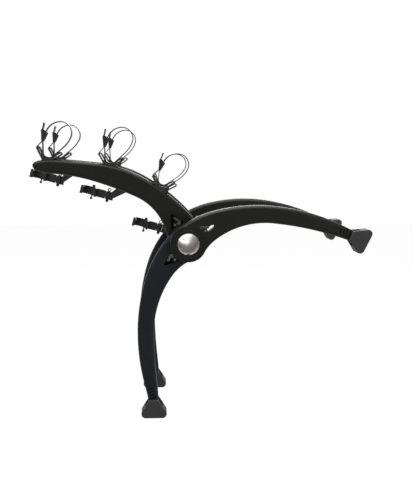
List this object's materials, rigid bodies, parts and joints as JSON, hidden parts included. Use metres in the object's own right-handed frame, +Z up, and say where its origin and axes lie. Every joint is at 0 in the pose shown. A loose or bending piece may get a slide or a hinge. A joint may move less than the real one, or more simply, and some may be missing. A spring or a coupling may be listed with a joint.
{
  "type": "trunk mounted bike rack",
  "caption": "Rear vehicle bike rack with arched arms, strapped bike cradles and arched legs on one central tube, all folding round it.",
  "frame": {"origin": "middle of the central tube, on its axis", "axes": "+X towards the vehicle, away from the bikes; +Z up; +Y along the tube, towards the arm that carries the anti-sway cradles"},
  "size_m": [1.0159, 0.462, 0.8631],
  "materials": {
    "beam_plastic": "satin",
    "hub_plastic": "satin",
    "tube_metal": "satin",
    "latch_plastic": "satin",
    "steel": "brushed",
    "foot_rubber": "matte",
    "cradle_rubber": "matte",
    "strap_rubber": "matte",
    "buckle_plastic": "satin"
  },
  "bodies": {
    "hub": {"main_tube": "tube_metal", "index_collar_right": "hub_plastic", "index_collar_left": "hub_plastic", "end_ring_right": "hub_plastic", "end_ring_left": "hub_plastic", "inner_ring_right": "hub_plastic", "inner_ring_left": "hub_plastic"},
    "upper_leg_right": {"upper_leg_right": "beam_plastic", "upper_pins_right": "steel", "upper_spring_right": "steel"},
    "upper_foot_right": {"upper_foot_right": "foot_rubber"},
    "upper_latch_right": {"upper_latch_right": "latch_plastic"},
    "lower_leg_right": {"lower_leg_right": "beam_plastic", "lower_pins_right": "steel", "lower_spring_right": "steel"},
    "lower_foot_right": {"lower_foot_right": "foot_rubber"},
    "lower_latch_right": {"lower_latch_right": "latch_plastic"},
    "arm_right": {"arm_right": "beam_plastic", "arm_latch_pin_right": "steel", "arm_spring_right": "steel", "cradles_right": "cradle_rubber", "straps_right": "strap_rubber", "buckle_frames_right": "buckle_plastic"},
    "arm_latch_right": {"arm_latch_right": "latch_plastic"},
    "buckle_lever_right_1": {"buckle_lever_right_1": "buckle_plastic"},
    "buckle_lever_right_2": {"buckle_lever_right_2": "buckle_plastic"},
    "buckle_lever_right_3": {"buckle_lever_right_3": "buckle_plastic"},
    "upper_leg_left": {"upper_leg_left": "beam_plastic", "upper_pins_left": "steel", "upper_spring_left": "steel"},
    "upper_foot_left": {"upper_foot_left": "foot_rubber"},
    "upper_latch_left": {"upper_latch_left": "latch_plastic"},
    "lower_leg_left": {"lower_leg_left": "beam_plastic", "lower_pins_left": "steel", "lower_spring_left": "steel"},
    "lower_foot_left": {"lower_foot_left": "foot_rubber"},
    "lower_latch_left": {"lower_latch_left": "latch_plastic"},
    "arm_left": {"arm_left": "beam_plastic", "arm_latch_pin_left": "steel", "arm_spring_left": "steel", "cradles_left": "cradle_rubber", "straps_left": "strap_rubber", "buckle_frames_left": "buckle_plastic", "anti_sway_bracket_1": "buckle_plastic", "anti_sway_bracket_2": "buckle_plastic", "anti_sway_bracket_3": "buckle_plastic"},
    "arm_latch_left": {"arm_latch_left": "latch_plastic"},
    "buckle_lever_left_1": {"buckle_lever_left_1": "buckle_plastic"},
    "buckle_lever_left_2": {"buckle_lever_left_2": "buckle_plastic"},
    "buckle_lever_left_3": {"buckle_lever_left_3": "buckle_plastic"},
    "anti_sway_1": {"anti_sway_cradle_1": "buckle_plastic", "anti_sway_strap_1": "strap_rubber"},
    "anti_sway_lever_1": {"anti_sway_lever_1": "buckle_plastic"},
    "anti_sway_2": {"anti_sway_cradle_2": "buckle_plastic", "anti_sway_strap_2": "strap_rubber"},
    "anti_sway_lever_2": {"anti_sway_lever_2": "buckle_plastic"},
    "anti_sway_3": {"anti_sway_cradle_3": "buckle_plastic", "anti_sway_strap_3": "strap_rubber"},
    "anti_sway_lever_3": {"anti_sway_lever_3": "buckle_plastic"}
  },
  "joints": [
    {"name": "upper_leg_right_fold", "type": "hinge", "parent": "hub", "child": "upper_leg_right", "pos_m": [0, -0.202, 0], "axis": [0, 1, 0], "range_deg": [-45, 90]},
    {"name": "upper_foot_right_tilt", "type": "hinge", "parent": "upper_leg_right", "child": "upper_foot_right", "pos_m": [0.4895, -0.202, 0.01199], "axis": [0, 1, 0], "range_deg": [-15, 15]},
    {"name": "upper_latch_right_press", "type": "hinge", "parent": "upper_leg_right", "child": "upper_latch_right", "pos_m": [0.04813, -0.202, 0.03828], "axis": [0, 1, 0], "range_deg": [0, 18], "stiffness_Nm_per_rad": 0.3, "springref_deg": -11.46},
    {"name": "lower_leg_right_fold", "type": "hinge", "parent": "hub", "child": "lower_leg_right", "pos_m": [0, -0.165, 0], "axis": [0, 1, 0], "range_deg": [-35, 60]},
    {"name": "lower_foot_right_tilt", "type": "hinge", "parent": "lower_leg_right", "child": "lower_foot_right", "pos_m": [-0.10102, -0.165, -0.488], "axis": [0, 1, 0], "range_deg": [-15, 15]},
    {"name": "lower_latch_right_press", "type": "hinge", "parent": "lower_leg_right", "child": "lower_latch_right", "pos_m": [-0.03828, -0.165, -0.04813], "axis": [0, -1, 0], "range_deg": [0, 18], "stiffness_Nm_per_rad": 0.3, "springref_deg": -11.46},
    {"name": "arm_right_fold", "type": "hinge", "parent": "hub", "child": "arm_right", "pos_m": [0, -0.128, 0], "axis": [0, 1, 0], "range_deg": [-85, 45]},
    {"name": "arm_latch_right_press", "type": "hinge", "parent": "arm_right", "child": "arm_latch_right", "pos_m": [-0.03658, -0.128, 0.04944], "axis": [0, -1, 0], "range_deg": [0, 18], "stiffness_Nm_per_rad": 0.3, "springref_deg": -11.46},
    {"name": "buckle_lever_right_1_open", "type": "hinge", "parent": "arm_right", "child": "buckle_lever_right_1", "pos_m": [-0.41551, -0.128, 0.30856], "axis": [0, -1, 0], "range_deg": [0, 80]},
    {"name": "buckle_lever_right_2_open", "type": "hinge", "parent": "arm_right", "child": "buckle_lever_right_2", "pos_m": [-0.2397, -0.128, 0.2909], "axis": [0, -1, 0], "range_deg": [0, 80]},
    {"name": "buckle_lever_right_3_open", "type": "hinge", "parent": "arm_right", "child": "buckle_lever_right_3", "pos_m": [-0.07927, -0.128, 0.22299], "axis": [0, -1, 0], "range_deg": [0, 80]},
    {"name": "upper_leg_left_fold", "type": "hinge", "parent": "hub", "child": "upper_leg_left", "pos_m": [0, 0.202, 0], "axis": [0, 1, 0], "range_deg": [-45, 90]},
    {"name": "upper_foot_left_tilt", "type": "hinge", "parent": "upper_leg_left", "child": "upper_foot_left", "pos_m": [0.4895, 0.202, 0.01199], "axis": [0, 1, 0], "range_deg": [-15, 15]},
    {"name": "upper_latch_left_press", "type": "hinge", "parent": "upper_leg_left", "child": "upper_latch_left", "pos_m": [0.04813, 0.202, 0.03828], "axis": [0, 1, 0], "range_deg": [0, 18], "stiffness_Nm_per_rad": 0.3, "springref_deg": -11.46},
    {"name": "lower_leg_left_fold", "type": "hinge", "parent": "hub", "child": "lower_leg_left", "pos_m": [0, 0.165, 0], "axis": [0, 1, 0], "range_deg": [-35, 60]},
    {"name": "lower_foot_left_tilt", "type": "hinge", "parent": "lower_leg_left", "child": "lower_foot_left", "pos_m": [-0.10102, 0.165, -0.488], "axis": [0, 1, 0], "range_deg": [-15, 15]},
    {"name": "lower_latch_left_press", "type": "hinge", "parent": "lower_leg_left", "child": "lower_latch_left", "pos_m": [-0.03828, 0.165, -0.04813], "axis": [0, -1, 0], "range_deg": [0, 18], "stiffness_Nm_per_rad": 0.3, "springref_deg": -11.46},
    {"name": "arm_left_fold", "type": "hinge", "parent": "hub", "child": "arm_left", "pos_m": [0, 0.128, 0], "axis": [0, 1, 0], "range_deg": [-85, 45]},
    {"name": "arm_latch_left_press", "type": "hinge", "parent": "arm_left", "child": "arm_latch_left", "pos_m": [-0.03658, 0.128, 0.04944], "axis": [0, -1, 0], "range_deg": [0, 18], "stiffness_Nm_per_rad": 0.3, "springref_deg": -11.46},
    {"name": "buckle_lever_left_1_open", "type": "hinge", "parent": "arm_left", "child": "buckle_lever_left_1", "pos_m": [-0.41551, 0.128, 0.30856], "axis": [0, -1, 0], "range_deg": [0, 80]},
    {"name": "buckle_lever_left_2_open", "type": "hinge", "parent": "arm_left", "child": "buckle_lever_left_2", "pos_m": [-0.2397, 0.128, 0.2909], "axis": [0, -1, 0], "range_deg": [0, 80]},
    {"name": "buckle_lever_left_3_open", "type": "hinge", "parent": "arm_left", "child": "buckle_lever_left_3", "pos_m": [-0.07927, 0.128, 0.22299], "axis": [0, -1, 0], "range_deg": [0, 80]},
    {"name": "anti_sway_1_swing", "type": "hinge", "parent": "arm_left", "child": "anti_sway_1", "pos_m": [-0.40171, 0.12, 0.17421], "axis": [0.2588, 0, 0.9659], "range_deg": [0, 100]},
    {"name": "anti_sway_lever_1_open", "type": "hinge", "parent": "anti_sway_1", "child": "anti_sway_lever_1", "pos_m": [-0.43938, 0.0795, 0.1843], "axis": [0.2588, 0, 0.9659], "range_deg": [0, 70]},
    {"name": "anti_sway_2_swing", "type": "hinge", "parent": "arm_left", "child": "anti_sway_2", "pos_m": [-0.24588, 0.12, 0.12412], "axis": [0.2588, 0, 0.9659], "range_deg": [0, 100]},
    {"name": "anti_sway_lever_2_open", "type": "hinge", "parent": "anti_sway_2", "child": "anti_sway_lever_2", "pos_m": [-0.28355, 0.0795, 0.13422], "axis": [0.2588, 0, 0.9659], "range_deg": [0, 70]},
    {"name": "anti_sway_3_swing", "type": "hinge", "parent": "arm_left", "child": "anti_sway_3", "pos_m": [-0.0826, 0.12, 0.01989], "axis": [0.2588, 0, 0.9659], "range_deg": [0, 80]},
    {"name": "anti_sway_lever_3_open", "type": "hinge", "parent": "anti_sway_3", "child": "anti_sway_lever_3", "pos_m": [-0.12027, 0.0795, 0.02999], "axis": [0.2588, 0, 0.9659], "range_deg": [0, 70]}
  ]
}
